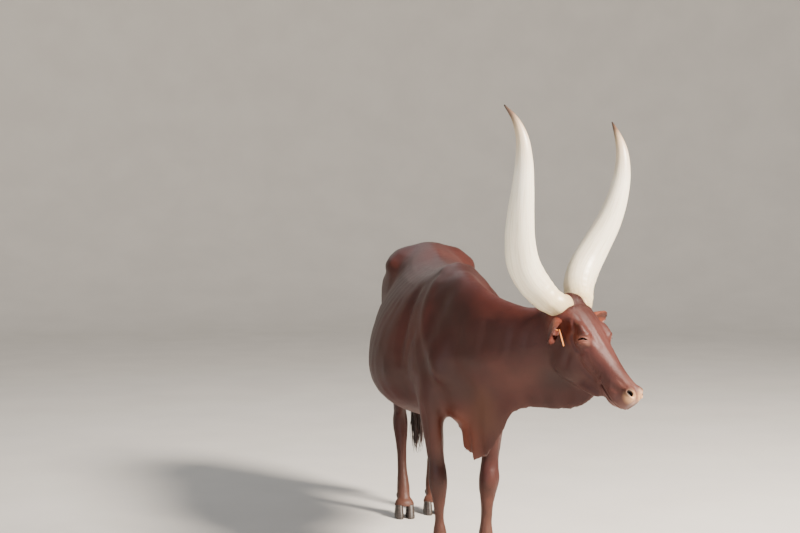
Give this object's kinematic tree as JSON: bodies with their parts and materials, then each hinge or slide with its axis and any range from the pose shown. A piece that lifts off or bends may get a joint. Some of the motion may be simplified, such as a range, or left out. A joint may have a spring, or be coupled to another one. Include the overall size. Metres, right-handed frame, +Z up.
{
  "type": "ankole watusi cattle",
  "caption": "Life-size still model of a long-horned red-brown cow standing with the neck turned to the left, heavy upright horns and a deep dewlap.",
  "frame": {"origin": "middle of the footprint of the whole animal, on the floor", "axes": "+X the way the body faces, +Y its left side, +Z up"},
  "size_m": [2.2388, 0.999, 1.9489],
  "materials": {
    "coat": "short glossy red-brown coat",
    "horn": "smooth cream horn, darker at the tip",
    "hoof": "dull grey-brown horn",
    "eye": "wet dark eye",
    "switch_hair": "long dark hair",
    "ear_tag": "plain orange plastic"
  },
  "bodies": {
    "root": {"head": "coat", "neck": "coat", "torso": "coat", "foreleg_left": "coat", "foreleg_right": "coat", "hindleg_left": "coat", "hindleg_right": "coat", "tail": "coat", "udder": "coat", "ear_left": "coat", "ear_right": "coat", "horn_left": "horn", "horn_right": "horn", "eye_left": "eye", "eye_right": "eye", "tail_switch": "switch_hair", "ear_tag_right": "ear_tag", "claw_fore_left_outer": "hoof", "dewclaw_fore_left_outer": "hoof", "claw_fore_left_inner": "hoof", "dewclaw_fore_left_inner": "hoof", "claw_fore_right_outer": "hoof", "dewclaw_fore_right_outer": "hoof", "claw_fore_right_inner": "hoof", "dewclaw_fore_right_inner": "hoof", "claw_hind_left_outer": "hoof", "dewclaw_hind_left_outer": "hoof", "claw_hind_left_inner": "hoof", "dewclaw_hind_left_inner": "hoof", "claw_hind_right_outer": "hoof", "dewclaw_hind_right_outer": "hoof", "claw_hind_right_inner": "hoof", "dewclaw_hind_right_inner": "hoof"}
  },
  "joints": []
}
